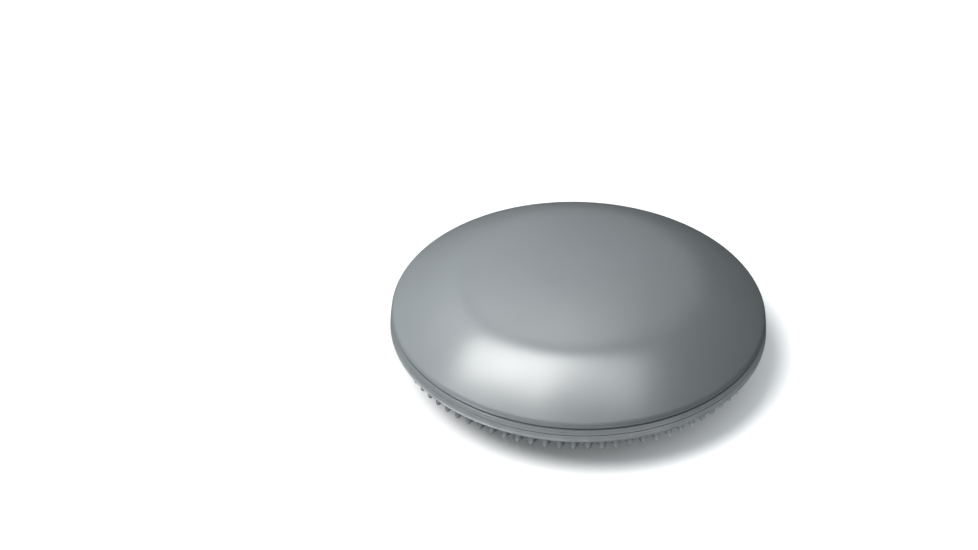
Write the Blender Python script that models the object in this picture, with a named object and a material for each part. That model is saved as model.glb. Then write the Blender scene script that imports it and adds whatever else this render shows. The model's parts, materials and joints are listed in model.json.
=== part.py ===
"""Inflatable balance disc: two soft PVC dome shells joined at a rim seam, and an inflation valve.

The disc stands on the nubs of its lower shell, smooth dome up. The origin is on the floor under the
middle of the disc, +Z is up, and everything is in metres. The shells are modelled around the seam plane,
and the valve pieces around their own axis, whose +Z points out of the valve's mouth.
"""

import math

import bmesh
import bpy
from mathutils import Vector

# Rim: a band between two grooves, with the seam half way up. It widens a little towards its lower edge.
RIM_RADIUS = 0.170  # at the band's lower edge
RIM_UPPER_RADIUS = 0.1690  # at the band's upper edge
RIM_SEAM_RADIUS = (RIM_RADIUS + RIM_UPPER_RADIUS) / 2
BAND_HALF_HEIGHT = 0.0066  # from the seam to the edge of the band, on both sides
BAND_ROUNDING = 0.0009  # radius of the band's two edges
GROOVE_RADIUS = 0.1681  # bottom of the groove between the band and each shoulder
GROOVE_HEIGHT = 0.0069
SHOULDER_FOOT = 0.0072  # height where a shoulder ends and its groove starts
SEAM_GAP = 0.0003  # the welded faces of the two shells are this far apart
SEAM_WIDTH = 0.0055  # thickness of the wall where the shells meet

# Upper shell: a smooth dome with a low plateau, a soft crease, a steeper flank and a round shoulder.
UPPER_RISE = 0.048  # from the seam plane to the top of the dome
UPPER_FLANK_END = (0.1658, 0.0114)  # radius and height where the flank meets the shoulder
UPPER_SHOULDER_ROUNDING = 0.0075
UPPER_FLAT_RADIUS = 0.020

# Lower shell: the same dome upside down, with nubs on it, and a flat patch to stand on.
LOWER_DEPTH = 0.047
LOWER_FLANK_END = (0.1665, 0.0098)
LOWER_SHOULDER_ROUNDING = 0.0055
LOWER_FLAT_RADIUS = 0.040

# Shape shared by the two domes.
CREASE_RADIUS = 0.108
CREASE_SOFTNESS = 0.005  # how gradually the plateau turns into the flank
CREASE_STEP = 0.30  # how much steeper the flank starts than the plateau ends
PLATEAU_DROP = 0.0050  # how far the plateau falls from its flat middle to the crease
WALL = 0.0032

# Nubs, in rings that are one pitch apart along the surface.
NUB_PITCH = 0.0119
NUB_RINGS = 14
NUB_OUTER_RING = 0.1590  # radius of the last ring
NUB_HEIGHT = 0.0070
NUB_BASE = 0.0066  # side of a nub's square foot
NUB_TIP = 0.0018  # side of the flat tip of a nub that stands on the floor

# Valve: it takes the place of one nub in the second ring from the rim.
VALVE_RING = NUB_RINGS - 1
VALVE_AZIMUTH = math.radians(112.5)
VALVE_BODY_RADIUS = 0.0055
VALVE_CLEARANCE = 0.0003
VALVE_FLANGE_RADIUS = 0.0110
VALVE_FLANGE_THICKNESS = 0.0016
VALVE_MOUTH = 0.0002  # the mouth stands this far out of the shell
VALVE_LENGTH = 0.0135  # from the shell's outer face to the inner end
VALVE_BORE_RADIUS = 0.0032
VALVE_SEAT_RADIUS = 0.0043  # the recess that holds the plug's head
VALVE_SEAT_DEPTH = 0.0024
VALVE_END_WALL = 0.0013
AIR_HOLE_RADIUS = 0.0012
CORE_TOP = 0.0052  # depth of the rubber core's outer end
CORE_SOCKET_DEPTH = 0.0034
NEEDLE_CHANNEL_RADIUS = 0.0005
PLUG_STEM_RADIUS = 0.0016
PLUG_HEAD_PROUD = 0.0010  # the head stands this far out, so that a fingernail can lift it

# Fineness of the round shapes.
SHELL_SEGMENTS = 72
LINING_SEGMENTS = 48  # the inner faces of the shells
SHOULDER_STEPS = 4
VALVE_SEGMENTS = 24

SEAM_HEIGHT = LOWER_DEPTH + NUB_HEIGHT  # of the seam plane above the floor

GREY_PVC = (0.40, 0.43, 0.44)
DARK_PVC = (0.13, 0.14, 0.145)
BLACK_RUBBER = (0.03, 0.03, 0.032)


def clear_scene():
    for obj in list(bpy.data.objects):
        bpy.data.objects.remove(obj, do_unlink=True)


def plain_material(name, colour, roughness):
    material = bpy.data.materials.new(name)
    material.use_nodes = True
    shader = material.node_tree.nodes["Principled BSDF"]
    shader.inputs["Base Color"].default_value = (*colour, 1.0)
    shader.inputs["Roughness"].default_value = roughness
    shader.inputs["Metallic"].default_value = 0.0
    return material


def add_object(name, bm, material, smooth_angle=35.0):
    """Close a bmesh into a named object with outward faces and smooth round sides."""
    bmesh.ops.recalc_face_normals(bm, faces=bm.faces)
    mesh = bpy.data.meshes.new(name)
    bm.to_mesh(mesh)
    bm.free()
    mesh.materials.append(material)
    mesh.shade_smooth()
    mesh.set_sharp_from_angle(angle=math.radians(smooth_angle))
    obj = bpy.data.objects.new(name, mesh)
    bpy.context.collection.objects.link(obj)
    return obj


# ---------------------------------------------------------------- dome shape


class Dome:
    """The outer face of one shell, as a height above or below the seam plane at each radius."""

    def __init__(self, rise, flat_radius, flank_end, shoulder_rounding, edge_radius):
        self.rise = rise
        self.edge_radius = edge_radius
        self.flat_radius = flat_radius
        self.flank_end = flank_end
        self.shoulder_rounding = shoulder_rounding
        end_radius, end_height = flank_end
        fall = rise - end_height - self.plateau_fall(end_radius)
        past = self.past_crease(end_radius)
        self.rounding = (fall - CREASE_STEP * past) / past**2

    def plateau_fall(self, radius):
        reach = max(radius - self.flat_radius, 0.0) / (CREASE_RADIUS - self.flat_radius)
        return PLATEAU_DROP * reach * reach

    def past_crease(self, radius):
        """Distance past the crease, with a smooth start."""
        return CREASE_SOFTNESS * math.log1p(math.exp((radius - CREASE_RADIUS) / CREASE_SOFTNESS))

    def height(self, radius):
        if radius <= self.flat_radius:
            return self.rise
        past = self.past_crease(radius)
        return self.rise - self.plateau_fall(radius) - CREASE_STEP * past - self.rounding * past**2

    def slope(self, radius):
        """Angle of the face from level, at a radius."""
        step = 0.0005
        if radius < step:
            return 0.0
        drop = self.height(radius - step) - self.height(radius + step)
        return math.atan2(drop, 2 * step)

    def shoulder(self):
        """The round shoulder, from the flank's end to the groove, as (radius, height)."""
        radius, height = self.flank_end
        bend = self.shoulder_rounding
        start = math.pi / 2 - self.slope(radius)
        centre_radius = radius - bend * math.cos(start)
        centre_height = height - bend * math.sin(start)
        end = math.asin((SHOULDER_FOOT - centre_height) / bend)
        turns = [start + (end - start) * i / SHOULDER_STEPS for i in range(SHOULDER_STEPS + 1)]
        return [(centre_radius + bend * math.cos(t), centre_height + bend * math.sin(t)) for t in turns]


UPPER_DOME = Dome(UPPER_RISE, UPPER_FLAT_RADIUS, UPPER_FLANK_END, UPPER_SHOULDER_ROUNDING,
                  RIM_UPPER_RADIUS)
LOWER_DOME = Dome(LOWER_DEPTH, LOWER_FLAT_RADIUS, LOWER_FLANK_END, LOWER_SHOULDER_ROUNDING,
                  RIM_RADIUS)


def ring_radii():
    """Radii of the nub rings: equal steps along the lower dome, ending at the outer ring."""
    step = 0.0001
    lengths = [0.0]
    radius = 0.0
    while radius < NUB_OUTER_RING:
        radius += step
        lengths.append(lengths[-1] + step / math.cos(LOWER_DOME.slope(radius)))
    pitch = lengths[-1] / NUB_RINGS
    radii = []
    for index, length in enumerate(lengths):
        if length >= pitch * (len(radii) + 1) - 1e-9:
            radii.append(index * step)
    return radii


# ---------------------------------------------------------------- rings of vertices


def level_ring(bm, radius, height, count):
    """A level ring of vertices, with one on the +X axis."""
    angles = [2 * math.pi * i / count for i in range(count)]
    return [bm.verts.new((radius * math.cos(a), radius * math.sin(a), height)) for a in angles]


def angle_from(vertex, start):
    turn = math.atan2(vertex.co.y, vertex.co.x) - start
    return turn % (2 * math.pi)


def stitch(bm, inner, outer):
    """Fill the band between two rings of vertices, whose numbers may differ, with triangles."""
    start = math.atan2(inner[0].co.y, inner[0].co.x) - math.pi / max(len(inner), len(outer))
    rings = [sorted(ring, key=lambda v: angle_from(v, start)) for ring in (inner, outer)]
    turns = [[angle_from(v, start) for v in ring] + [angle_from(ring[0], start) + 2 * math.pi]
             for ring in rings]
    at = [0, 0]
    while at[0] < len(inner) or at[1] < len(outer):
        first = at[1] >= len(outer) or (at[0] < len(inner) and turns[0][at[0] + 1] <= turns[1][at[1] + 1])
        side = 0 if first else 1
        ring = rings[side]
        corners = [rings[0][at[0] % len(inner)], rings[1][at[1] % len(outer)],
                   ring[(at[side] + 1) % len(ring)]]
        bm.faces.new(corners)
        at[side] += 1


def stitch_all(bm, rings):
    for inner, outer in zip(rings, rings[1:]):
        stitch(bm, inner, outer)


# ---------------------------------------------------------------- shells


def rim_profile(dome):
    """Outer profile of a shell's rim, from the flank's end to the seam: (radius, height)."""
    edge = BAND_HALF_HEIGHT - BAND_ROUNDING
    corner = [(dome.edge_radius - BAND_ROUNDING * (1 - math.sin(a)), edge + BAND_ROUNDING * math.cos(a))
              for a in (math.radians(15), math.radians(52), math.radians(90))]
    return dome.shoulder() + [(GROOVE_RADIUS, GROOVE_HEIGHT)] + corner + [(RIM_SEAM_RADIUS, SEAM_GAP / 2)]


def lining_profile(dome):
    """Inner profile of a shell, from the seam to the middle: (radius, height)."""
    seam_radius = RIM_SEAM_RADIUS - SEAM_WIDTH
    radii = [0.161, 0.146, 0.131, 0.117, CREASE_RADIUS, 0.098, 0.073, dome.flat_radius]
    points = [(seam_radius, SEAM_GAP / 2), (seam_radius, BAND_HALF_HEIGHT / 3)]
    points += [(r, dome.height(r) - WALL / math.cos(dome.slope(r))) for r in radii]
    return points


def add_rim_and_lining(bm, dome, sign):
    """Add the rim and the hollow side of a shell, and return the ring at its flank's end."""
    outer = [level_ring(bm, r, sign * z, SHELL_SEGMENTS) for r, z in rim_profile(dome)]
    inner = [level_ring(bm, r, sign * z, LINING_SEGMENTS) for r, z in lining_profile(dome)]
    stitch_all(bm, outer + inner)
    bm.faces.new(inner[-1])
    return outer[0]


def make_upper_shell(material):
    bm = bmesh.new()
    flank_end = add_rim_and_lining(bm, UPPER_DOME, 1)
    radii = [0.159, 0.149, 0.137, 0.124, 0.115, CREASE_RADIUS, 0.102, 0.094, 0.075, 0.047]
    rings = [flank_end] + [level_ring(bm, r, UPPER_DOME.height(r), SHELL_SEGMENTS) for r in radii]
    rings.append(level_ring(bm, UPPER_FLAT_RADIUS, UPPER_RISE, SHELL_SEGMENTS // 2))
    stitch_all(bm, rings)
    bm.faces.new(rings[-1])
    obj = add_object("upper_shell", bm, material)
    obj.location.z = SEAM_HEIGHT
    return obj


def lower_point(radius, angle):
    return Vector((radius * math.cos(angle), radius * math.sin(angle), -LOWER_DOME.height(radius)))


def lower_normal(radius, angle):
    slope = LOWER_DOME.slope(radius)
    return Vector((math.sin(slope) * math.cos(angle), math.sin(slope) * math.sin(angle), -math.cos(slope)))


def add_tip(bm, foot, centre, normal):
    """Raise a nub over its square foot: flat where it stands on the floor, pointed elsewhere."""
    peak = centre + normal * NUB_HEIGHT
    stands = peak.z < -(LOWER_DEPTH + NUB_HEIGHT) + 1e-6
    if stands:
        tip = [bm.verts.new(peak + (v.co - centre) * NUB_TIP / NUB_BASE) for v in foot]
        for v in tip:
            v.co.z = peak.z
        for i in range(4):
            bm.faces.new((foot[i], foot[(i + 1) % 4], tip[(i + 1) % 4], tip[i]))
        bm.faces.new(tip)
        return
    tip = bm.verts.new(peak)
    for i in range(4):
        bm.faces.new((foot[i], foot[(i + 1) % 4], tip))


def add_nub_ring(bm, ring_number, radius):
    """Add a ring of nubs and the skin between them. Returns the ring's inner and outer vertices."""
    count = round(2 * math.pi * radius / NUB_PITCH)
    half = NUB_BASE / 2
    reach = half * math.cos(LOWER_DOME.slope(radius))
    near, far = radius - reach, radius + reach
    feet = []
    for i in range(count):
        angle = VALVE_AZIMUTH + 2 * math.pi * i / count
        spread = {r: math.asin(half / r) for r in (near, far)}
        corners = [(near, angle - spread[near]), (far, angle - spread[far]),
                   (far, angle + spread[far]), (near, angle + spread[near])]
        foot = [bm.verts.new(lower_point(r, a)) for r, a in corners]
        feet.append(foot)
        if ring_number == VALVE_RING and i == 0:
            bm.faces.new(foot)
        else:
            add_tip(bm, foot, lower_point(radius, angle), lower_normal(radius, angle))
    for foot, after in zip(feet, feet[1:] + feet[:1]):
        bm.faces.new((foot[3], foot[2], after[1], after[0]))
    inner = [v for foot in feet for v in (foot[0], foot[3])]
    outer = [v for foot in feet for v in (foot[1], foot[2])]
    return inner, outer


def make_lower_shell(material):
    bm = bmesh.new()
    flank_end = add_rim_and_lining(bm, LOWER_DOME, -1)
    half = NUB_BASE / 2
    foot = [bm.verts.new((x, y, -LOWER_DEPTH)) for x, y in ((-half, -half), (half, -half), (half, half),
                                                            (-half, half))]
    add_tip(bm, foot, Vector((0, 0, -LOWER_DEPTH)), Vector((0, 0, -1)))
    edge = foot
    for number, radius in enumerate(ring_radii(), start=1):
        inner, outer = add_nub_ring(bm, number, radius)
        stitch(bm, edge, inner)
        edge = outer
    stitch(bm, edge, flank_end)
    obj = add_object("lower_shell", bm, material)
    obj.location.z = SEAM_HEIGHT
    return obj


# ---------------------------------------------------------------- valve


def turned(name, outline, material, closed):
    """Turn an outline of (radius, height) points around the local Z axis.

    A closed outline goes round a hole. An open one starts and ends on the axis.
    """
    bm = bmesh.new()
    points = [bm.verts.new((r, 0, z)) for r, z in outline]
    pairs = list(zip(points, points[1:]))
    if closed:
        pairs.append((points[-1], points[0]))
    edges = [bm.edges.new(pair) for pair in pairs]
    bmesh.ops.spin(bm, geom=points + edges, cent=(0, 0, 0), axis=(0, 0, 1), angle=2 * math.pi,
                   steps=VALVE_SEGMENTS, use_merge=True)
    bmesh.ops.remove_doubles(bm, verts=bm.verts, dist=1e-6)
    return add_object(name, bm, material)


def place_on_valve(obj, frame):
    obj.parent = frame


def make_valve_frame():
    """An empty at the valve's mouth, with its Z axis pointing out of the shell."""
    radius = ring_radii()[VALVE_RING - 1]
    frame = bpy.data.objects.new("valve_axis", None)
    bpy.context.collection.objects.link(frame)
    frame.location = lower_point(radius, VALVE_AZIMUTH) + Vector((0, 0, SEAM_HEIGHT))
    frame.rotation_mode = "QUATERNION"
    frame.rotation_quaternion = Vector((0, 0, 1)).rotation_difference(lower_normal(radius, VALVE_AZIMUTH))
    frame.empty_display_size = 0.02
    return frame


def cut_valve_hole(shell, frame, material):
    """Cut the round hole for the valve through the lower shell."""
    radius = VALVE_BODY_RADIUS + VALVE_CLEARANCE
    outline = [(0, 0.004), (radius, 0.004), (radius, -0.009), (0, -0.009)]
    cutter = turned("valve_hole_cutter", outline, material, closed=False)
    place_on_valve(cutter, frame)
    cutter.hide_render = True
    cutter.display_type = "WIRE"
    cut = shell.modifiers.new("valve_hole", "BOOLEAN")
    cut.operation = "DIFFERENCE"
    cut.solver = "EXACT"
    cut.object = cutter


def make_valve_housing(material, frame):
    flange = -WALL - 2 * VALVE_CLEARANCE
    end = -VALVE_LENGTH
    outline = [
        (VALVE_BODY_RADIUS, VALVE_MOUTH),
        (VALVE_BODY_RADIUS, flange),
        (VALVE_FLANGE_RADIUS, flange),
        (VALVE_FLANGE_RADIUS, flange - VALVE_FLANGE_THICKNESS),
        (VALVE_BODY_RADIUS + 0.0008, flange - VALVE_FLANGE_THICKNESS - 0.0006),
        (VALVE_BODY_RADIUS - 0.0006, end),
        (AIR_HOLE_RADIUS, end),
        (AIR_HOLE_RADIUS, end + VALVE_END_WALL),
        (VALVE_BORE_RADIUS, end + VALVE_END_WALL),
        (VALVE_BORE_RADIUS, -VALVE_SEAT_DEPTH),
        (VALVE_SEAT_RADIUS, -VALVE_SEAT_DEPTH),
        (VALVE_SEAT_RADIUS, VALVE_MOUTH),
    ]
    place_on_valve(turned("valve_housing", outline, material, closed=True), frame)


def make_valve_core(material, frame):
    """The self-sealing rubber core: a socket for the plug's stem, and a fine needle channel below it."""
    outside = VALVE_BORE_RADIUS - VALVE_CLEARANCE
    bottom = -VALVE_LENGTH + VALVE_END_WALL + VALVE_CLEARANCE
    socket = PLUG_STEM_RADIUS + VALVE_CLEARANCE
    socket_end = -CORE_TOP - CORE_SOCKET_DEPTH
    outline = [
        (outside, -CORE_TOP),
        (outside, bottom),
        (NEEDLE_CHANNEL_RADIUS, bottom),
        (NEEDLE_CHANNEL_RADIUS, socket_end),
        (socket, socket_end),
        (socket, -CORE_TOP),
    ]
    place_on_valve(turned("valve_core", outline, material, closed=True), frame)


def make_valve_plug(material, frame):
    """The pull-out stopper. It slides along the valve's axis."""
    head_radius = VALVE_SEAT_RADIUS - VALVE_CLEARANCE
    head_bottom = -VALVE_SEAT_DEPTH + VALVE_CLEARANCE
    stem_end = -CORE_TOP - CORE_SOCKET_DEPTH + VALVE_CLEARANCE
    outline = [
        (0, PLUG_HEAD_PROUD),
        (head_radius - 0.0008, PLUG_HEAD_PROUD),
        (head_radius, PLUG_HEAD_PROUD - 0.0008),
        (head_radius, head_bottom),
        (PLUG_STEM_RADIUS, head_bottom),
        (PLUG_STEM_RADIUS, stem_end + 0.0006),
        (PLUG_STEM_RADIUS - 0.0006, stem_end),
        (0, stem_end),
    ]
    place_on_valve(turned("valve_plug", outline, material, closed=False), frame)


def main():
    clear_scene()
    make_upper_shell(plain_material("upper_pvc", GREY_PVC, 0.42))
    lower = make_lower_shell(plain_material("lower_pvc", GREY_PVC, 0.45))
    frame = make_valve_frame()
    cut_valve_hole(lower, frame, plain_material("cutter", GREY_PVC, 0.5))
    make_valve_housing(plain_material("housing_pvc", GREY_PVC, 0.5), frame)
    make_valve_core(plain_material("core_rubber", BLACK_RUBBER, 0.7), frame)
    make_valve_plug(plain_material("plug_pvc", DARK_PVC, 0.5), frame)


main()
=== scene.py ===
"""Looks of the inflatable balance disc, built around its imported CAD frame.

The two shells are rebuilt as fine closed skins: a smooth dome above, and a dome covered with round nubs
below. They keep the radii, heights and nub places of the CAD shells. The valve's three pieces are rebuilt
on the valve's axis. Everything is in metres, in the CAD frame.
"""

import json
import math

import bmesh
import bpy
from mathutils import Matrix, Vector


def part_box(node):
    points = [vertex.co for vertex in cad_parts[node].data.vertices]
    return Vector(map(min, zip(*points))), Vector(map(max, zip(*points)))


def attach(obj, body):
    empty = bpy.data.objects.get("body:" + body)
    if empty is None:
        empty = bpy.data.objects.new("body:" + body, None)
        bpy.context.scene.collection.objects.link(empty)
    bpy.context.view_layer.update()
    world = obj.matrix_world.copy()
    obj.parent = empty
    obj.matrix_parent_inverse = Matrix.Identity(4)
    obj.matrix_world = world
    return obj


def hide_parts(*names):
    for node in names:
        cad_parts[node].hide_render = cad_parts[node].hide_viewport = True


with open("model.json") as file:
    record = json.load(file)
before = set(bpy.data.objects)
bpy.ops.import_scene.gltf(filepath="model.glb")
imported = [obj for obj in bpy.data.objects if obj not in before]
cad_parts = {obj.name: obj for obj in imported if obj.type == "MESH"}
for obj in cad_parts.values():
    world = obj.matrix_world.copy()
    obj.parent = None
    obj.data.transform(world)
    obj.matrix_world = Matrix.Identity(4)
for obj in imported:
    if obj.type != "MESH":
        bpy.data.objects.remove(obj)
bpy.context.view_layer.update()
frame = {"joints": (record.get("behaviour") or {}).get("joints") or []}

# ---------------------------------------------------------------- sizes from the frame

UPPER_LOW, UPPER_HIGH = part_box("upper_shell")
RIM_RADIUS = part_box("lower_shell")[1].x  # at the band's lower edge
RIM_UPPER_RADIUS = RIM_RADIUS - 0.0010  # at the band's upper edge
RIM_SEAM_RADIUS = (RIM_RADIUS + RIM_UPPER_RADIUS) / 2
SEAM_GAP = 0.0003
SEAM_HEIGHT = UPPER_LOW.z - SEAM_GAP / 2
UPPER_RISE = UPPER_HIGH.z - SEAM_HEIGHT

# ---------------------------------------------------------------- sizes shared with the CAD source

NUB_HEIGHT = 0.0070
LOWER_DEPTH = SEAM_HEIGHT - NUB_HEIGHT
UPPER_FLANK_END = (0.1658, 0.0114)  # radius and height where the flank meets the round shoulder
UPPER_SHOULDER_ROUNDING = 0.0075
LOWER_FLANK_END = (0.1665, 0.0098)
LOWER_SHOULDER_ROUNDING = 0.0055
UPPER_FLAT_RADIUS = 0.020
LOWER_FLAT_RADIUS = 0.040
CREASE_RADIUS = 0.108
CREASE_SOFTNESS = 0.005
CREASE_STEP = 0.30
PLATEAU_DROP = 0.0050
WALL = 0.0032
SEAM_WIDTH = 0.0055
GROOVE_HEIGHT = 0.0069  # of the groove between the band and each shoulder, from the seam plane

NUB_PITCH = 0.0119
NUB_RINGS = 14
NUB_OUTER_RING = 0.1590

VALVE_RING = NUB_RINGS - 1
VALVE_AZIMUTH = math.radians(112.5)
VALVE_AXIS = Vector(frame["joints"][0]["axis"])
VALVE_BODY_RADIUS = 0.0055
VALVE_CLEARANCE = 0.0003
VALVE_FLANGE_RADIUS = 0.0110
VALVE_FLANGE_THICKNESS = 0.0016
VALVE_MOUTH = 0.0002
VALVE_LENGTH = 0.0135
VALVE_BORE_RADIUS = 0.0032
VALVE_SEAT_RADIUS = 0.0043
VALVE_SEAT_DEPTH = 0.0024
VALVE_END_WALL = 0.0013
AIR_HOLE_RADIUS = 0.0012
CORE_TOP = 0.0052
CORE_SOCKET_DEPTH = 0.0034
NEEDLE_CHANNEL_RADIUS = 0.0005
PLUG_STEM_RADIUS = 0.0016
PLUG_HEAD_PROUD = 0.0010

# ---------------------------------------------------------------- fine detail that only the looks have

SHELL_SEGMENTS = 288
LINING_SEGMENTS = 96
TURNED_SEGMENTS = 64
POLE_RINGS = [(0.004, 24), (0.010, LINING_SEGMENTS)]  # radius and vertices of the rings around the top
FLANK_STEPS = 96
SHOULDER_STEPS = 14
GROOVE_ROUNDING = 0.00015
GROOVE_BOTTOM = 0.1672  # radius of the groove's bottom
CURL_START = 0.0084  # height where a shoulder curls into its groove
CURL_ROUNDING = 0.0015
CURL_END = -35  # direction of the curl's face at its end, in degrees below level
CURL_STEPS = 5
PAINTED_SHADE_START = 0.0114  # height where painted shade begins, darkening towards the groove

BAND_EDGE_HEIGHT = 0.0066  # from the seam plane to the edge of the band
BAND_EDGE_ROUNDING = 0.0022
EDGE_STEPS = 8
LIP_ROUNDING = 0.0006
LIP_FLARE = 0.0004  # how far the lip at the band's lower edge stands out
LIP_HEIGHT = 0.0057  # height of the lip's near side, from the seam plane
PARTING_LINE_HEIGHT = 0.0029
PARTING_LINE_DEPTH = 0.00014
PARTING_LINE_WIDTH = 0.0004
SEAM_CHAMFER = 0.00028

NUB_SIDES = 16
NUB_FOOT = 0.0042  # radius of the cone where it meets the skin
NUB_FILLET = 0.0008
NUB_TIP_RADIUS = 0.0019
NUB_BULGE = 0.00025  # how far the cone's side swells out at mid height
CELL_MARGIN = 0.0008  # half the strip of skin between two rings of nub cells

# Wear and painted light at each vertex: 1 is rubbed pale, with painted highlight on the lip and the nub
# tips, 0 is as moulded, and below 0 is painted shade in the grooves and between the nubs.
DEEPEST_PAINTED_SHADE = -1.2
NUB_FOOT_PAINTED_SHADE = -1.0
NUB_TIP_WEAR_AND_HIGHLIGHT = 1.4


def surface_object(name, bm, material, sharp_angle=45.0):
    """Close a bmesh into a smooth object with outward faces."""
    bmesh.ops.remove_doubles(bm, verts=bm.verts, dist=1e-5)
    bmesh.ops.recalc_face_normals(bm, faces=bm.faces)
    mesh = bpy.data.meshes.new(name)
    bm.to_mesh(mesh)
    bm.free()
    mesh.materials.append(material)
    mesh.shade_smooth()
    mesh.set_sharp_from_angle(angle=math.radians(sharp_angle))
    obj = bpy.data.objects.new(name, mesh)
    bpy.context.scene.collection.objects.link(obj)
    return obj


# ---------------------------------------------------------------- dome shape, as in the CAD source


class Dome:
    """The outer face of one shell, as a height above or below the seam plane at each radius."""

    def __init__(self, rise, flat_radius, flank_end, shoulder_rounding, edge_radius):
        self.rise = rise
        self.edge_radius = edge_radius
        self.flat_radius = flat_radius
        self.flank_end = flank_end
        self.shoulder_rounding = shoulder_rounding
        end_radius, end_height = flank_end
        fall = rise - end_height - self.plateau_fall(end_radius)
        past = self.past_crease(end_radius)
        self.rounding = (fall - CREASE_STEP * past) / past**2

    def plateau_fall(self, radius):
        reach = max(radius - self.flat_radius, 0.0) / (CREASE_RADIUS - self.flat_radius)
        return PLATEAU_DROP * reach * reach

    def past_crease(self, radius):
        """How far a radius lies past the crease, eased in softly."""
        return CREASE_SOFTNESS * math.log1p(math.exp((radius - CREASE_RADIUS) / CREASE_SOFTNESS))

    def height(self, radius):
        if radius <= self.flat_radius:
            return self.rise
        past = self.past_crease(radius)
        return self.rise - self.plateau_fall(radius) - CREASE_STEP * past - self.rounding * past**2

    def slope(self, radius):
        step = 0.0005
        if radius < step:
            return 0.0
        drop = self.height(radius - step) - self.height(radius + step)
        return math.atan2(drop, 2 * step)

    def shoulder(self):
        """The round shoulder, from the flank's end to the groove, as (radius, height)."""
        radius, height = self.flank_end
        start = math.pi / 2 - self.slope(radius)
        centre = (radius - self.shoulder_rounding * math.cos(start),
                  height - self.shoulder_rounding * math.sin(start))
        end = math.asin((CURL_START - centre[1]) / self.shoulder_rounding)
        points = arc(centre, self.shoulder_rounding, math.degrees(start), math.degrees(end), SHOULDER_STEPS)
        curl = (points[-1][0] - CURL_ROUNDING * math.cos(end), points[-1][1] - CURL_ROUNDING * math.sin(end))
        return points + arc(curl, CURL_ROUNDING, math.degrees(end), CURL_END, CURL_STEPS)[1:]


def arc(centre, radius, start, end, steps):
    """Points on an arc in the (radius, height) plane, angles in degrees."""
    turns = [math.radians(start + (end - start) * i / steps) for i in range(steps + 1)]
    return [(centre[0] + radius * math.cos(t), centre[1] + radius * math.sin(t)) for t in turns]


UPPER_DOME = Dome(UPPER_RISE, UPPER_FLAT_RADIUS, UPPER_FLANK_END, UPPER_SHOULDER_ROUNDING,
                  RIM_UPPER_RADIUS)
LOWER_DOME = Dome(LOWER_DEPTH, LOWER_FLAT_RADIUS, LOWER_FLANK_END, LOWER_SHOULDER_ROUNDING,
                  RIM_RADIUS)


def ring_radii():
    """Radii of the nub rings: equal steps along the lower dome, ending at the outer ring."""
    step = 0.0001
    lengths = [0.0]
    radius = 0.0
    while radius < NUB_OUTER_RING:
        radius += step
        lengths.append(lengths[-1] + step / math.cos(LOWER_DOME.slope(radius)))
    pitch = lengths[-1] / NUB_RINGS
    radii = []
    for index, length in enumerate(lengths):
        if length >= pitch * (len(radii) + 1) - 1e-9:
            radii.append(index * step)
    return radii


RING_RADII = ring_radii()


# ---------------------------------------------------------------- rings of vertices


class Skin:
    """A bmesh that grows ring by ring, with a value at each vertex for wear, painted highlight and painted
    shade.
    """

    def __init__(self):
        self.bm = bmesh.new()
        self.wear_and_painted_light = self.bm.verts.layers.float.new("wear_and_painted_light")

    def point(self, place, wear_and_painted_light=0.0):
        vertex = self.bm.verts.new(place)
        vertex[self.wear_and_painted_light] = wear_and_painted_light
        return vertex

    def level_ring(self, radius, height, count, wear_and_painted_light=0.0):
        """A level ring as (angle, vertex) pairs."""
        angles = [2 * math.pi * i / count for i in range(count)]
        return [(a, self.point((radius * math.cos(a), radius * math.sin(a), height), wear_and_painted_light)) for a in angles]

    def bridge(self, ring, after):
        """Quads between two rings with the same number of vertices."""
        for i in range(len(ring)):
            j = (i + 1) % len(ring)
            self.bm.faces.new((ring[i], ring[j], after[j], after[i]))

    def stitch(self, inner, outer):
        """Triangles between two rings of (angle, vertex) pairs, whose numbers may differ."""
        start = inner[0][0] - math.pi / max(len(inner), len(outer))
        rings = []
        for ring in (inner, outer):
            turned = sorted(((a - start) % (2 * math.pi), v.index, v) for a, v in ring)
            rings.append([(a, v) for a, _, v in turned])
        at = [0, 0]

        def turn(side, index):
            ring = rings[side]
            return ring[index % len(ring)][0] + 2 * math.pi * (index // len(ring))

        while at[0] < len(inner) or at[1] < len(outer):
            first = at[1] >= len(outer) or (at[0] < len(inner) and turn(0, at[0] + 1) <= turn(1, at[1] + 1))
            side = 0 if first else 1
            ring = rings[side]
            self.bm.faces.new((rings[0][at[0] % len(inner)][1], rings[1][at[1] % len(outer)][1],
                               ring[(at[side] + 1) % len(ring)][1]))
            at[side] += 1

    def join(self, inner, outer):
        """The band between two level rings, with quads where their numbers match."""
        if len(inner) == len(outer):
            self.bridge([v for _, v in inner], [v for _, v in outer])
        else:
            self.stitch(inner, outer)

    def join_all(self, rings):
        for inner, outer in zip(rings, rings[1:]):
            self.join(inner, outer)


# ---------------------------------------------------------------- rim


def painted_shade_at(height):
    """Painted shade on a shoulder: darker towards the groove at its foot."""
    return -min(max((PAINTED_SHADE_START - height) / (PAINTED_SHADE_START - GROOVE_HEIGHT), 0.0), 1.0)


def band_edge(dome):
    """The rounded edge of the band, from the groove to the wall, as (radius, height, wear and painted
    light).
    """
    lip = dome is LOWER_DOME
    rounding = LIP_ROUNDING if lip else BAND_EDGE_ROUNDING
    centre = (dome.edge_radius - rounding, BAND_EDGE_HEIGHT - rounding)
    edge = arc(centre, rounding, 96, 2, EDGE_STEPS)
    along = [i / EDGE_STEPS for i in range(EDGE_STEPS + 1)]
    if not lip:
        # Painted shade fades out from the groove along the upper band's edge.
        return [(r, z, way - 1.0) for way, (r, z) in zip(along, edge)]
    # The lip is rubbed pale and carries a painted highlight along it.
    points = [(r, z, 1.0 - abs(way - 0.5) * 1.6) for way, (r, z) in zip(along, edge)]
    points.append((RIM_RADIUS - 0.00003, LIP_HEIGHT + 0.0001, 1.0))
    points.append((RIM_RADIUS - LIP_FLARE, LIP_HEIGHT - LIP_FLARE, 0.8))
    return points


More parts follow.
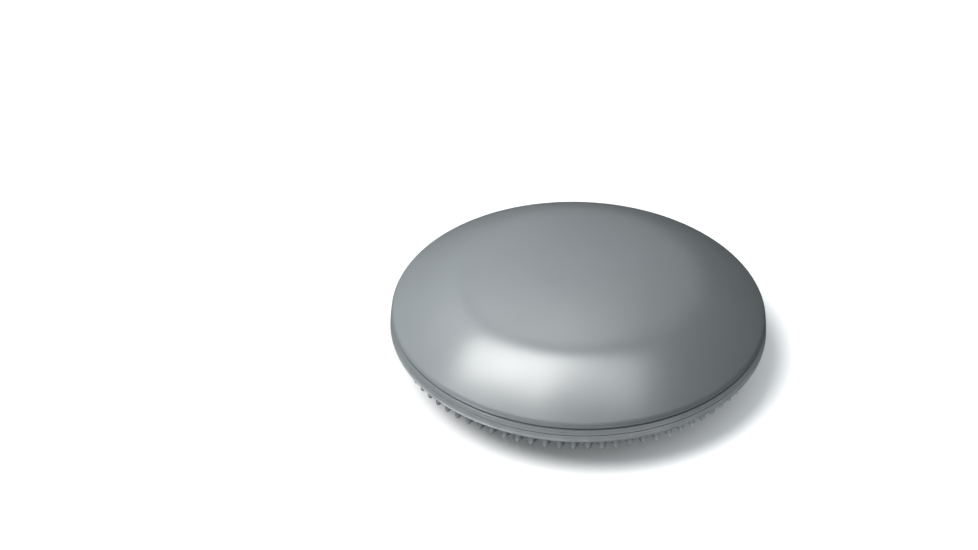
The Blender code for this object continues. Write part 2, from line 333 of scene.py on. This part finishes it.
def band_wall(dome):
    """The band's leaning wall, from its edge to the seam, as (radius, height, wear)."""
    lip = dome is LOWER_DOME
    far_radius = RIM_RADIUS - LIP_FLARE if lip else dome.edge_radius
    lean = (RIM_SEAM_RADIUS - far_radius) / (BAND_EDGE_HEIGHT - BAND_EDGE_ROUNDING)
    paled = 0.5 if lip else 0.1
    half = PARTING_LINE_WIDTH / 2
    line = PARTING_LINE_HEIGHT
    seam = SEAM_GAP / 2
    steps = [
        (line + half + 0.0001, 0.0, paled),
        (line + half, 0.0, paled),
        (line, PARTING_LINE_DEPTH, 0.0),
        (line - half, 0.0, paled),
        (line - half - 0.0001, 0.0, paled * 0.8),
        (seam + 2.2 * SEAM_CHAMFER, 0.0, 0.1),
        (seam + 1.4 * SEAM_CHAMFER, 0.00002, 0.3),
        (seam + 0.5 * SEAM_CHAMFER, 0.3 * SEAM_CHAMFER, 0.5),
        (seam, SEAM_CHAMFER, 0.2),
    ]
    return [(RIM_SEAM_RADIUS - lean * height - depth, height, wear_and_painted_light) for height, depth, wear_and_painted_light in steps]


def rim_outline(dome):
    """The rim's outer profile from the end of the dome's flank to the seam, as (radius, height, wear and
    painted light).
    """
    points = [(r, z, painted_shade_at(z)) for r, z in dome.shoulder()]
    groove = arc((GROOVE_BOTTOM + GROOVE_ROUNDING, GROOVE_HEIGHT), GROOVE_ROUNDING, 135, 225, 4)
    # The groove carries the full painted shade.
    points += [(r, z, -1.0) for r, z in groove]
    return points + band_edge(dome) + band_wall(dome)


def lining_outline(dome):
    """The inner profile of a shell, from the seam to the middle."""
    seam_radius = RIM_SEAM_RADIUS - SEAM_WIDTH
    radii = [0.161, 0.152, 0.144, 0.136, 0.128, 0.120, 0.114, CREASE_RADIUS, 0.102, 0.094, 0.080, 0.060,
             dome.flat_radius]
    points = [(seam_radius, SEAM_GAP / 2), (seam_radius, 0.0022)]
    points += [(r, dome.height(r) - WALL / math.cos(dome.slope(r))) for r in radii]
    return points


def add_rim(skin, dome, sign):
    """Add the rim and the hollow side of a shell. Returns the ring at the end of the flank."""
    outside = [skin.level_ring(r, sign * z, SHELL_SEGMENTS, wear_and_painted_light) for r, z, wear_and_painted_light in rim_outline(dome)]
    inside = [skin.level_ring(r, sign * z, LINING_SEGMENTS) for r, z in lining_outline(dome)]
    skin.join_all(outside + inside)
    skin.bm.faces.new([v for _, v in inside[-1]])
    return outside[0]


# ---------------------------------------------------------------- upper shell


def make_smooth_dome(material):
    skin = Skin()
    rim = add_rim(skin, UPPER_DOME, 1)
    width = UPPER_FLANK_END[0] - UPPER_FLAT_RADIUS
    radii = [UPPER_FLAT_RADIUS + width * i / FLANK_STEPS for i in range(FLANK_STEPS)]
    rings = [skin.level_ring(r, UPPER_RISE, count) for r, count in POLE_RINGS]
    rings += [skin.level_ring(r, UPPER_DOME.height(r), SHELL_SEGMENTS) for r in radii]
    rings.append(rim)
    skin.join_all(rings)
    skin.bm.faces.new([v for _, v in rings[0]])
    obj = surface_object("smooth_dome", skin.bm, material)
    obj.location.z = SEAM_HEIGHT
    return obj


# ---------------------------------------------------------------- lower shell


def lower_point(radius, angle):
    return Vector((radius * math.cos(angle), radius * math.sin(angle), -LOWER_DOME.height(radius)))


def lower_normal(radius, angle):
    slope = LOWER_DOME.slope(radius)
    return Vector((math.sin(slope) * math.cos(angle), math.sin(slope) * math.sin(angle), -math.cos(slope)))


def nub_outline():
    """A nub's side from the skin to just below its tip: (distance from its axis, height)."""
    tip_height = NUB_HEIGHT - NUB_TIP_RADIUS
    reach = math.hypot(NUB_FOOT, tip_height)
    lean = math.atan2(NUB_FOOT, tip_height) - math.asin(NUB_TIP_RADIUS / reach)
    fillet_centre = (NUB_FOOT - NUB_FILLET * math.tan(lean) + NUB_FILLET / math.cos(lean), NUB_FILLET)
    points = arc(fillet_centre, NUB_FILLET, -90, -180 + math.degrees(lean), 2)
    tip = arc((0, tip_height), NUB_TIP_RADIUS, math.degrees(lean), 90, 3)[:-1]
    foot, shoulder = points[-1], tip[0]
    middle = ((foot[0] + shoulder[0]) / 2 + NUB_BULGE, (foot[1] + shoulder[1]) / 2)
    return points + [middle] + tip


NUB_OUTLINE = nub_outline()
NUB_TURNS = [math.radians(45) + 2 * math.pi * i / NUB_SIDES for i in range(NUB_SIDES)]


def nub_place(radius, angle, away, turn, lift):
    """A point of a nub: away from its axis in the direction turn, and lifted off the skin."""
    out = away * math.cos(turn) * math.cos(LOWER_DOME.slope(radius))
    across = away * math.sin(turn)
    here = radius + out
    skin_point = lower_point(math.hypot(here, across), angle + math.atan2(across, here))
    return skin_point + lower_normal(radius, angle) * lift


def cell_border(radius_in, radius_out, angle, half_angle):
    """The outline of the patch of skin around a nub, corner to corner, in step with the nub's sides."""
    side = NUB_SIDES // 4
    corners = [(radius_out, angle + half_angle), (radius_in, angle + half_angle),
               (radius_in, angle - half_angle), (radius_out, angle - half_angle)]
    border = []
    for start, end in zip(corners, corners[1:] + corners[:1]):
        border += [tuple(s + (e - s) * i / side for s, e in zip(start, end)) for i in range(side)]
    return border


def add_nub(skin, radius, angle, border):
    """Raise one nub inside its border of vertices."""
    before = border
    for away, lift in NUB_OUTLINE:
        # Painted shade at each nub's foot, rising to pale wear with a painted highlight towards its tip.
        wear_and_painted_light = NUB_FOOT_PAINTED_SHADE + (NUB_TIP_WEAR_AND_HIGHLIGHT - NUB_FOOT_PAINTED_SHADE) * lift / NUB_HEIGHT
        ring = [skin.point(nub_place(radius, angle, away, t, lift), wear_and_painted_light) for t in NUB_TURNS]
        skin.bridge(before, ring)
        before = ring
    tip = skin.point(nub_place(radius, angle, 0.0, 0.0, NUB_HEIGHT), 1.0)
    for i in range(NUB_SIDES):
        skin.bm.faces.new((before[i], before[(i + 1) % NUB_SIDES], tip))


def add_nub_ring(skin, number, radius_in, radius, radius_out):
    """Add a ring of nubs with the skin between them. Returns the ring's inner and outer edges."""
    count = round(2 * math.pi * radius / NUB_PITCH)
    side = NUB_SIDES // 4
    inner, outer = [], []
    for i in range(count):
        angle = VALVE_AZIMUTH + 2 * math.pi * i / count
        places = cell_border(radius_in, radius_out, angle, math.pi / count)
        # The skin between the nubs carries the deepest painted shade.
        border = [skin.point(lower_point(r, a), DEEPEST_PAINTED_SHADE) for r, a in places]
        if number == VALVE_RING and i == 0:
            skin.bm.faces.new(border)
        else:
            add_nub(skin, radius, angle, border)
        inner += [(places[k][1], border[k]) for k in range(2 * side, side, -1)]
        outer += [(places[k][1], border[k]) for k in range(3 * side, 4 * side)]
    return inner, outer


def make_nubbed_dome(material, cutter):
    skin = Skin()
    rim = add_rim(skin, LOWER_DOME, -1)
    halfway = [(a + b) / 2 for a, b in zip([0.0] + RING_RADII, RING_RADII)]
    halfway.append(NUB_OUTER_RING + NUB_PITCH / 2 * math.cos(LOWER_DOME.slope(NUB_OUTER_RING)))
    reach = halfway[0] - CELL_MARGIN
    border = [skin.point(lower_point(reach, t)) for t in NUB_TURNS]
    add_nub(skin, 0.0, 0.0, border)
    edge = list(zip(NUB_TURNS, border))
    for number, radius in enumerate(RING_RADII, start=1):
        radius_in = halfway[number - 1] + CELL_MARGIN
        radius_out = halfway[number] - CELL_MARGIN
        inner, outer = add_nub_ring(skin, number, radius_in, radius, radius_out)
        skin.stitch(edge, inner)
        edge = outer
    skin.stitch(edge, rim)
    obj = surface_object("nubbed_dome", skin.bm, material)
    obj.location.z = SEAM_HEIGHT
    cut = obj.modifiers.new("valve_hole", "BOOLEAN")
    cut.operation = "DIFFERENCE"
    cut.solver = "EXACT"
    cut.object = cutter
    bpy.context.view_layer.update()
    final = bpy.data.meshes.new_from_object(obj.evaluated_get(bpy.context.evaluated_depsgraph_get()))
    obj.modifiers.clear()
    obj.data = final
    final.shade_smooth()
    final.set_sharp_from_angle(angle=math.radians(45))
    bpy.data.objects.remove(cutter)
    return obj


# ---------------------------------------------------------------- valve


def valve_matrix():
    """Places a piece on the valve: origin at the mouth, +Z out of the shell."""
    mouth = lower_point(RING_RADII[VALVE_RING - 1], VALVE_AZIMUTH) + Vector((0, 0, SEAM_HEIGHT))
    turn = Vector((0, 0, 1)).rotation_difference(VALVE_AXIS)
    return Matrix.Translation(mouth) @ turn.to_matrix().to_4x4()


def turned(name, outline, material, closed, segments=TURNED_SEGMENTS, sharp_angle=45.0):
    """Turn an outline of (radius, height) points around the valve's axis."""
    skin = Skin()
    rings = []
    for r, z in outline:
        if r < 1e-7:
            rings.append([skin.point((0, 0, z))])
        else:
            rings.append([v for _, v in skin.level_ring(r, z, segments)])
    pairs = list(zip(rings, rings[1:]))
    if closed:
        pairs.append((rings[-1], rings[0]))
    for ring, after in pairs:
        if len(ring) == len(after):
            skin.bridge(ring, after)
        else:
            pole, round_ring = (ring[0], after) if len(ring) == 1 else (after[0], ring)
            for i in range(segments):
                skin.bm.faces.new((round_ring[i], round_ring[(i + 1) % segments], pole))
    obj = surface_object(name, skin.bm, material, sharp_angle)
    obj.data.transform(valve_matrix())
    return obj


def rounded(corner_in, corner, corner_out, radius, steps=4):
    """Replace an outline's corner by a small arc of that radius, as quadratic steps."""
    a, b, c = (Vector(p).to_2d() for p in (corner_in, corner, corner_out))
    start = b + (a - b).normalized() * radius
    end = b + (c - b).normalized() * radius
    return [tuple((1 - t) ** 2 * start + 2 * t * (1 - t) * b + t * t * end)
            for t in (i / steps for i in range(steps + 1))]


def round_outline(points, radii):
    """Round an outline's corners: radii gives each point's rounding, or 0 to keep it sharp."""
    made = []
    for i, (point, radius) in enumerate(zip(points, radii)):
        if radius <= 0:
            made.append(point)
            continue
        made += rounded(points[i - 1], point, points[(i + 1) % len(points)], radius)
    return made


def make_hole_cutter():
    radius = VALVE_BODY_RADIUS + VALVE_CLEARANCE
    plain = bpy.data.materials.new("cutter")
    outline = [(0, 0.004), (radius, 0.004), (radius, -0.009), (0, -0.009)]
    cutter = turned("valve_hole_cutter", outline, plain, closed=False)
    cutter.hide_render = True
    cutter.display_type = "WIRE"
    return cutter


def make_valve_seat(material):
    flange = -WALL - 2 * VALVE_CLEARANCE
    end = -VALVE_LENGTH
    points = [
        (VALVE_BODY_RADIUS, VALVE_MOUTH),
        (VALVE_BODY_RADIUS, flange),
        (VALVE_FLANGE_RADIUS, flange),
        (VALVE_FLANGE_RADIUS, flange - VALVE_FLANGE_THICKNESS),
        (VALVE_BODY_RADIUS + 0.0008, flange - VALVE_FLANGE_THICKNESS - 0.0006),
        (VALVE_BODY_RADIUS - 0.0006, end),
        (AIR_HOLE_RADIUS, end),
        (AIR_HOLE_RADIUS, end + VALVE_END_WALL),
        (VALVE_BORE_RADIUS, end + VALVE_END_WALL),
        (VALVE_BORE_RADIUS, -VALVE_SEAT_DEPTH),
        (VALVE_SEAT_RADIUS, -VALVE_SEAT_DEPTH),
        (VALVE_SEAT_RADIUS, VALVE_MOUTH),
    ]
    radii = [0.0004, 0.0002, 0.0004, 0.0004, 0.0004, 0.0005, 0.0002, 0, 0, 0.0002, 0.0002, 0.0003]
    return turned("valve_seat", round_outline(points, radii), material, closed=True, sharp_angle=60)


def make_valve_insert(material):
    outside = VALVE_BORE_RADIUS - VALVE_CLEARANCE
    bottom = -VALVE_LENGTH + VALVE_END_WALL + VALVE_CLEARANCE
    socket = PLUG_STEM_RADIUS + VALVE_CLEARANCE
    socket_end = -CORE_TOP - CORE_SOCKET_DEPTH
    points = [
        (outside, -CORE_TOP),
        (outside, bottom),
        (NEEDLE_CHANNEL_RADIUS, bottom),
        (NEEDLE_CHANNEL_RADIUS, socket_end),
        (socket, socket_end),
        (socket, -CORE_TOP),
    ]
    radii = [0.0003, 0.0003, 0.0002, 0.0001, 0.0002, 0.0003]
    return turned("valve_insert", round_outline(points, radii), material, closed=True, sharp_angle=60)


def make_valve_stopper(material):
    head = VALVE_SEAT_RADIUS - VALVE_CLEARANCE
    head_bottom = -VALVE_SEAT_DEPTH + VALVE_CLEARANCE
    stem_end = -CORE_TOP - CORE_SOCKET_DEPTH + VALVE_CLEARANCE
    points = [
        (0, PLUG_HEAD_PROUD - 0.0004),
        (0.0017, PLUG_HEAD_PROUD - 0.0004),
        (0.0020, PLUG_HEAD_PROUD),
        (head, PLUG_HEAD_PROUD),
        (head, -0.0004),
        (head - 0.0003, -0.0007),
        (head, -0.0010),
        (head, head_bottom),
        (PLUG_STEM_RADIUS, head_bottom),
        (PLUG_STEM_RADIUS, stem_end + 0.0010),
        (PLUG_STEM_RADIUS - 0.0006, stem_end),
        (0, stem_end),
    ]
    radii = [0, 0.0002, 0.0002, 0.0005, 0.0002, 0.0001, 0.0002, 0.0003, 0.0003, 0.0003, 0.0003, 0]
    return turned("valve_stopper", round_outline(points, radii), material, closed=False, sharp_angle=60)


# ---------------------------------------------------------------- materials


class Nodes:
    """Short calls for building a material's node tree."""

    def __init__(self, name):
        self.material = bpy.data.materials.new(name)
        self.material.use_nodes = True
        self.tree = self.material.node_tree
        self.shader = self.tree.nodes["Principled BSDF"]
        self.place = self.add("ShaderNodeTexCoord").outputs["Object"]

    def add(self, kind, **settings):
        node = self.tree.nodes.new(kind)
        for key, value in settings.items():
            setattr(node, key, value)
        return node

    def link(self, output, socket):
        self.tree.links.new(output, socket)

    def noise(self, scale, detail=2.0, roughness=0.5, stretch=None):
        """Noise over the object's own coordinates; scale is in features per metre."""
        place = self.place
        if stretch:
            mapping = self.add("ShaderNodeMapping")
            mapping.inputs["Scale"].default_value = stretch
            self.link(place, mapping.inputs["Vector"])
            place = mapping.outputs["Vector"]
        node = self.add("ShaderNodeTexNoise")
        node.inputs["Scale"].default_value = scale
        node.inputs["Detail"].default_value = detail
        node.inputs["Roughness"].default_value = roughness
        self.link(place, node.inputs["Vector"])
        return node.outputs["Fac"]

    def ramp(self, value, low, high, start, end):
        """Map a value between low and high to start and end."""
        node = self.add("ShaderNodeMapRange")
        for name, number in (("From Min", low), ("From Max", high), ("To Min", start), ("To Max", end)):
            node.inputs[name].default_value = number
        self.link(value, node.inputs["Value"])
        return node.outputs["Result"]

    def math(self, operation, a, b):
        node = self.add("ShaderNodeMath", operation=operation)
        for socket, value in zip(node.inputs, (a, b)):
            if isinstance(value, (int, float)):
                socket.default_value = value
            else:
                self.link(value, socket)
        return node.outputs["Value"]

    def mix(self, factor, a, b):
        """Mix two colours; each is an output or three numbers."""
        node = self.add("ShaderNodeMix", data_type="RGBA")
        sockets = [s for s in node.inputs if s.type == "RGBA"]
        for socket, value in zip(sockets, (a, b)):
            if isinstance(value, tuple):
                socket.default_value = (*value, 1.0)
            else:
                self.link(value, socket)
        self.link(factor, node.inputs["Factor"])
        return next(s for s in node.outputs if s.type == "RGBA")

    def wear_and_painted_light(self):
        """The value for wear, painted highlight and painted shade that a skin's vertices carry."""
        return self.add("ShaderNodeAttribute", attribute_name="wear_and_painted_light").outputs["Fac"]

    def bump(self, layers):
        """Stack bump layers of (height output, distance in metres) onto the shader's normal."""
        normal = None
        for height, distance in layers:
            node = self.add("ShaderNodeBump")
            node.inputs["Strength"].default_value = 1.0
            node.inputs["Distance"].default_value = distance
            self.link(height, node.inputs["Height"])
            if normal is not None:
                self.link(normal, node.inputs["Normal"])
            normal = node.outputs["Normal"]
        self.link(normal, self.shader.inputs["Normal"])


def soft_pvc(name, colour, worn_and_lit, roughness):
    """Satin moulded PVC: faint clouds, fine grain, scuffs, pale rubbed edges with painted highlight, and
    painted shade in hollows.
    """
    n = Nodes(name)
    shade = tuple(c * 0.94 for c in colour)
    clouds = n.mix(n.ramp(n.noise(14, 3), 0.3, 0.7, 0, 1), colour, shade)
    dark = tuple(c * 0.90 for c in colour)
    speckle = n.mix(n.ramp(n.noise(1400, 2), 0.58, 0.75, 0, 0.5), clouds, dark)
    # Pale where the value is above 0: wear on rubbed edges, and painted highlight on the lip and the nub
    # tips.
    pale_amount = n.ramp(n.wear_and_painted_light(), 0.0, 1.0, 0.0, 1.0)
    paled = n.mix(n.math("MULTIPLY", pale_amount, n.ramp(n.noise(90, 3), 0.35, 0.65, 0.35, 0.80)), speckle, worn_and_lit)
    # Painted shade where the value is below 0, in the grooves and between the nubs.
    shade_amount = n.ramp(n.wear_and_painted_light(), 0.0, DEEPEST_PAINTED_SHADE, 0.0, -DEEPEST_PAINTED_SHADE)
    shade_paint = n.math("MULTIPLY", shade_amount, n.ramp(n.noise(70, 3), 0.35, 0.65, 0.28, 0.42))
    with_shade = n.mix(shade_paint, paled, tuple(c * 0.35 for c in colour))
    n.link(with_shade, n.shader.inputs["Base Color"])
    patches = n.ramp(n.noise(22, 3), 0.3, 0.7, roughness - 0.025, roughness + 0.025)
    scuffs = n.ramp(n.noise(160, 4, 0.7, (1.0, 0.12, 1.0)), 0.62, 0.75, 0.0, 0.05)
    n.link(n.math("ADD", patches, scuffs), n.shader.inputs["Roughness"])
    n.shader.inputs["IOR"].default_value = 1.53
    n.bump([(n.noise(60, 2), 0.00004), (n.noise(2600, 2), 0.000006)])
    return n.material


def black_rubber():
    """Matte black rubber with a little dust."""
    n = Nodes("valve_rubber_looks")
    dust = n.ramp(n.noise(900, 3), 0.5, 0.75, 0, 1)
    n.link(n.mix(dust, (0.018, 0.018, 0.019), (0.05, 0.05, 0.048)), n.shader.inputs["Base Color"])
    n.link(n.ramp(n.noise(500, 3), 0.3, 0.7, 0.55, 0.75), n.shader.inputs["Roughness"])
    n.bump([(n.noise(3000, 2), 0.00001)])
    return n.material


GREY = (0.205, 0.228, 0.240)
GREY_WORN_AND_LIT = (0.42, 0.445, 0.455)
SEAT_GREY = (0.19, 0.21, 0.22)
DARK_GREY = (0.055, 0.060, 0.063)
DARK_GREY_WORN = (0.12, 0.13, 0.13)


# ---------------------------------------------------------------- pieces


def make_disc():
    upper = make_smooth_dome(soft_pvc("smooth_pvc_looks", GREY, GREY_WORN_AND_LIT, 0.30))
    lower = make_nubbed_dome(soft_pvc("nubbed_pvc_looks", GREY, GREY_WORN_AND_LIT, 0.32), make_hole_cutter())
    seat = make_valve_seat(soft_pvc("valve_pvc_looks", SEAT_GREY, GREY_WORN_AND_LIT, 0.36))
    insert = make_valve_insert(black_rubber())
    stopper = make_valve_stopper(soft_pvc("plug_pvc_looks", DARK_GREY, DARK_GREY_WORN, 0.38))
    rides = [
        (upper, "disc", "upper_shell", "smooth_pvc"),
        (lower, "disc", "lower_shell", "nubbed_pvc"),
        (seat, "disc", "valve_housing", "valve_pvc"),
        (insert, "disc", "valve_core", "valve_rubber"),
        (stopper, "plug", "valve_plug", "plug_pvc"),
    ]
    for piece, body, node, slot in rides:
        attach(piece, body)
        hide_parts(node)
    return [piece for piece, *_ in rides]


# ---------------------------------------------------------------- stage, light and camera

CEILING = 0.70  # height of the overhead lights above the floor
FLOOR_RADIUS = 30.0
FLOOR_HEIGHT = -0.0002
GLOW_HEIGHT = -0.002
CAMERA_FROM_SEAM = Vector((-0.0804, -1.4605, 1.1032))
CAMERA_PITCH = math.radians(35.95)
CAMERA_ROLL = math.radians(-0.12)
CAMERA_LENS = 74.36


def make_floor():
    """The pale floor. It is hidden from the disc's own rays, which see the floor glows instead."""
    bm = bmesh.new()
    bmesh.ops.create_circle(bm, cap_ends=True, radius=FLOOR_RADIUS, segments=96)
    mesh = bpy.data.meshes.new("studio_floor")
    bm.to_mesh(mesh)
    bm.free()
    n = Nodes("studio_floor_paint")
    n.link(n.mix(n.noise(3, 2), (0.90, 0.90, 0.90), (0.92, 0.92, 0.92)), n.shader.inputs["Base Color"])
    n.shader.inputs["Roughness"].default_value = 0.9
    n.shader.inputs["Specular IOR Level"].default_value = 0.0
    mesh.materials.append(n.material)
    floor = bpy.data.objects.new("studio_floor", mesh)
    floor.location.z = FLOOR_HEIGHT
    floor.visible_glossy = False
    floor.visible_diffuse = False
    floor.visible_shadow = False
    bpy.context.scene.collection.objects.link(floor)
    return floor


def add_glow(name, outline, strength):
    """A flat white glow just under the floor, from an outline or between two rings of points."""
    bm = bmesh.new()
    rings = [[bm.verts.new((x, y, 0.0)) for x, y in ring] for ring in outline]
    if len(rings) == 1:
        bm.faces.new(rings[0])
    else:
        inner, outer = rings
        for i in range(len(inner)):
            j = (i + 1) % len(inner)
            bm.faces.new((inner[i], inner[j], outer[j], outer[i]))
    mesh = bpy.data.meshes.new(name)
    bm.to_mesh(mesh)
    bm.free()
    n = Nodes(name + "_light")
    uneven = n.ramp(n.noise(2, 2), 0.3, 0.7, strength * 0.95, strength * 1.05)
    n.link(uneven, n.shader.inputs["Emission Strength"])
    n.shader.inputs["Emission Color"].default_value = (1.0, 1.0, 1.0, 1.0)
    n.shader.inputs["Base Color"].default_value = (0.0, 0.0, 0.0, 1.0)
    mesh.materials.append(n.material)
    glow = bpy.data.objects.new(name, mesh)
    glow.location.z = GLOW_HEIGHT
    glow.visible_camera = False
    glow.visible_shadow = False
    bpy.context.scene.collection.objects.link(glow)
    return glow


def circle(radius, centre=(0.0, 0.0), count=48):
    """Points of a circle on the floor."""
    turns = [2 * math.pi * i / count for i in range(count)]
    return [(centre[0] + radius * math.cos(t), centre[1] + radius * math.sin(t)) for t in turns]


def arc_strip(inner, outer, start, end, step):
    """The outline of a strip between two radii, from one direction to another, in degrees."""
    turns = [math.radians(a) for a in range(start, end + 1, step)]
    there = [(inner * math.cos(t), inner * math.sin(t)) for t in turns]
    back = [(outer * math.cos(t), outer * math.sin(t)) for t in reversed(turns)]
    return there + back


def make_floor_glow():
    """The light that the white floor throws back at the disc.

    One glow lies all round, one close by on the right lights the rim from below, and one in front is
    only seen as a reflection.
    """
    around = add_glow("floor_bounce", [circle(0.24, (0.05, 0.0)), circle(3.0)], 1.35)
    around.visible_glossy = False
    close = add_glow("right_bounce", [arc_strip(0.18, 0.27, -72, 0, 4)], 1.9)
    close.visible_glossy = False
    front = add_glow("front_reflection", [[(-1.6, -1.9), (0.28, -1.9), (0.20, -0.2), (-1.6, -0.2)]], 1.35)
    front.visible_diffuse = False


def lit_only(light, name, objects):
    """Let a light reach only these objects, as a flag or a grid does in a studio."""
    group = bpy.data.collections.new(name)
    for obj in objects:
        group.objects.link(obj)
    light.light_linking.receiver_collection = group


def add_light(name, kind, location, aim, energy):
    data = bpy.data.lights.new(name, kind)
    data.energy = energy
    light = bpy.data.objects.new(name, data)
    light.location = location
    light.rotation_euler = (Vector(aim) - Vector(location)).to_track_quat("-Z", "Y").to_euler()
    bpy.context.scene.collection.objects.link(light)
    return light


def add_softbox(name, centre, aim, size, turn, energy, receivers):
    """A rectangular soft light; turn is its rotation about its own axis, in degrees."""
    light = add_light(name, "AREA", centre, aim, energy)
    light.data.shape = "RECTANGLE"
    light.data.size, light.data.size_y = size
    light.rotation_euler.rotate_axis("Z", math.radians(turn))
    lit_only(light, name + "_reaches", receivers)
    return light


def add_overhead(name, x, y, size, turn, energy, receivers):
    """A softbox at the studio's ceiling that looks straight down."""
    return add_softbox(name, (x, y, CEILING), (x, y, 0.0), size, turn, energy, receivers)


def add_sun(name, location, energy, angle, receivers):
    """A sun that shines on the disc's place from a direction; angle is its width, in degrees."""
    sun = add_light(name, "SUN", location, (0, 0, 0), energy)
    sun.data.angle = math.radians(angle)
    lit_only(sun, name + "_reaches", receivers)
    return sun


def make_lights(pieces, floor):
    """Softboxes that light the disc alone, and two suns that light the floor alone."""
    main = add_overhead("main_softbox", -0.33, -0.04, (0.54, 0.25), -27, 7.4, pieces)
    main.data.color = (1.0, 0.99, 0.975)
    side = add_overhead("side_softbox", 0.06, -0.13, (0.48, 0.24), -12, 2.7, pieces)
    side.visible_diffuse = False
    add_overhead("back_softbox", -0.06, 0.46, (0.36, 0.34), 0, 1.1, pieces)
    add_overhead("back_left_softbox", -0.66, 0.52, (0.44, 0.44), 0, 0.7, pieces)
    add_softbox("left_strip", (-1.0, -0.70, 0.08), (0.0, 0.0, 0.05), (0.60, 0.12), 0, 4.0, pieces)
    add_sun("floor_key", (-0.48, -0.40, 1.0), 3.0, 26, [floor])
    fill = add_sun("floor_fill", (0.2, -0.75, 1.0), 2.7, 110, [floor])
    fill.data.color = (0.93, 0.98, 1.0)


def make_world():
    """Dim grey surroundings, with a white backdrop behind the floor's horizon."""
    world = bpy.data.worlds.new("studio")
    bpy.context.scene.world = world
    world.use_nodes = True
    tree = world.node_tree
    dim = tree.nodes["Background"]
    dim.inputs["Color"].default_value = (0.94, 0.98, 1.0, 1.0)
    dim.inputs["Strength"].default_value = 0.02
    backdrop = tree.nodes.new("ShaderNodeBackground")
    backdrop.inputs["Color"].default_value = (1.0, 1.0, 1.0, 1.0)
    backdrop.inputs["Strength"].default_value = 1.0
    path = tree.nodes.new("ShaderNodeLightPath")
    choose = tree.nodes.new("ShaderNodeMixShader")
    tree.links.new(path.outputs["Is Camera Ray"], choose.inputs[0])
    tree.links.new(dim.outputs[0], choose.inputs[1])
    tree.links.new(backdrop.outputs[0], choose.inputs[2])
    tree.links.new(choose.outputs[0], tree.nodes["World Output"].inputs["Surface"])


def make_camera():
    """A camera at its place from the middle of the seam plane, pitched down and rolled a little."""
    data = bpy.data.cameras.new("camera")
    data.sensor_width = 36.0
    data.lens = CAMERA_LENS
    camera = bpy.data.objects.new("camera", data)
    level = Vector((1, 0, 0))
    forward = Vector((0, math.cos(CAMERA_PITCH), -math.sin(CAMERA_PITCH)))
    upright = level.cross(forward)
    right = math.cos(CAMERA_ROLL) * level + math.sin(CAMERA_ROLL) * upright
    up = right.cross(forward)
    turn = Matrix((right, up, -forward)).transposed()
    camera.matrix_world = Matrix.Translation(Vector((0, 0, SEAM_HEIGHT)) + CAMERA_FROM_SEAM) @ turn.to_4x4()
    bpy.context.scene.collection.objects.link(camera)
    bpy.context.scene.camera = camera


bpy.context.scene.view_settings.view_transform = "Standard"
disc_pieces = make_disc()
make_lights(disc_pieces, make_floor())
make_floor_glow()
make_world()
make_camera()
